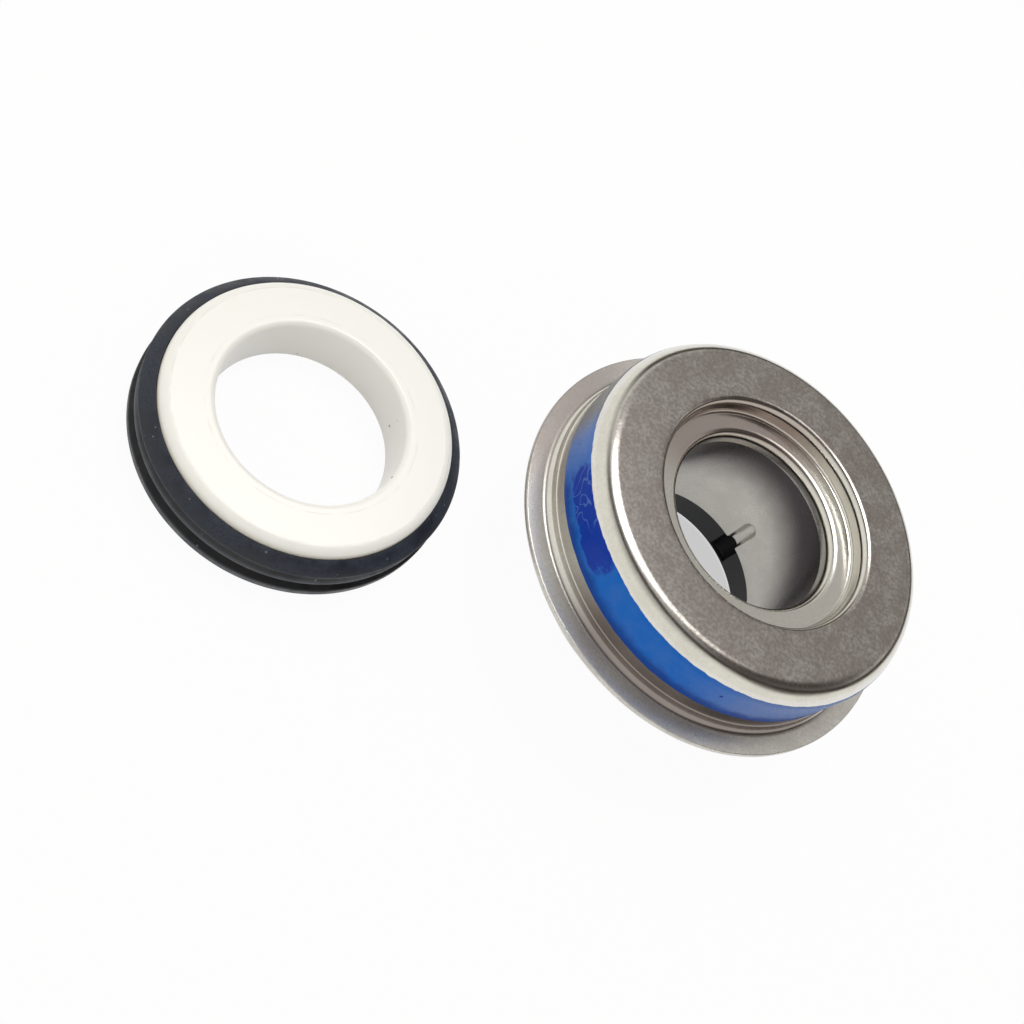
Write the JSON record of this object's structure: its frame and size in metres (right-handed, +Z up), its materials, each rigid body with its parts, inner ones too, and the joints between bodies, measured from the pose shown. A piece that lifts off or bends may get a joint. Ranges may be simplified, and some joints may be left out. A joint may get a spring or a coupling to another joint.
{
  "type": "mechanical shaft seal",
  "caption": "Two-part water pump shaft seal: flanged steel cartridge with a sprung carbon face, and a ceramic seat ring in a ribbed rubber cup.",
  "frame": {"origin": "middle of the whole set, on the surface both halves lie on", "axes": "+X from the seat to the seal head, +Z up along both ring axes, towards the closed end of the case"},
  "size_m": [0.0762, 0.0414, 0.02],
  "materials": {
    "case_steel": "satin drawn stainless sheet, lightly smudged",
    "sleeve_steel": "plain stainless sheet",
    "spring_wire": "drawn stainless wire",
    "blue_sealant": "thin brushed-on sealing paint",
    "bellows_rubber": "moulded black rubber",
    "cup_rubber": "moulded black rubber, satin",
    "carbon": "machined carbon-graphite with a lapped face",
    "white_ceramic": "lapped alumina"
  },
  "bodies": {
    "case_set": {"case": "case_steel", "sealant_band": "blue_sealant", "drive_sleeve": "sleeve_steel", "clamp_band": "sleeve_steel", "spring": "spring_wire", "bellows": "bellows_rubber", "ceramic_seat": "white_ceramic", "seat_cup": "cup_rubber"},
    "carbon_set": {"carbon_ring": "carbon", "carbon_holder": "sleeve_steel", "spring_washer": "sleeve_steel"}
  },
  "joints": [
    {"name": "carbon_slide", "type": "slide", "parent": "case_set", "child": "carbon_set", "axis": [0, 0, 1], "range_m": [0, 0.003], "stiffness_N_per_m": 600, "springref_m": -0.012, "deforming": ["spring", "bellows"]}
  ]
}
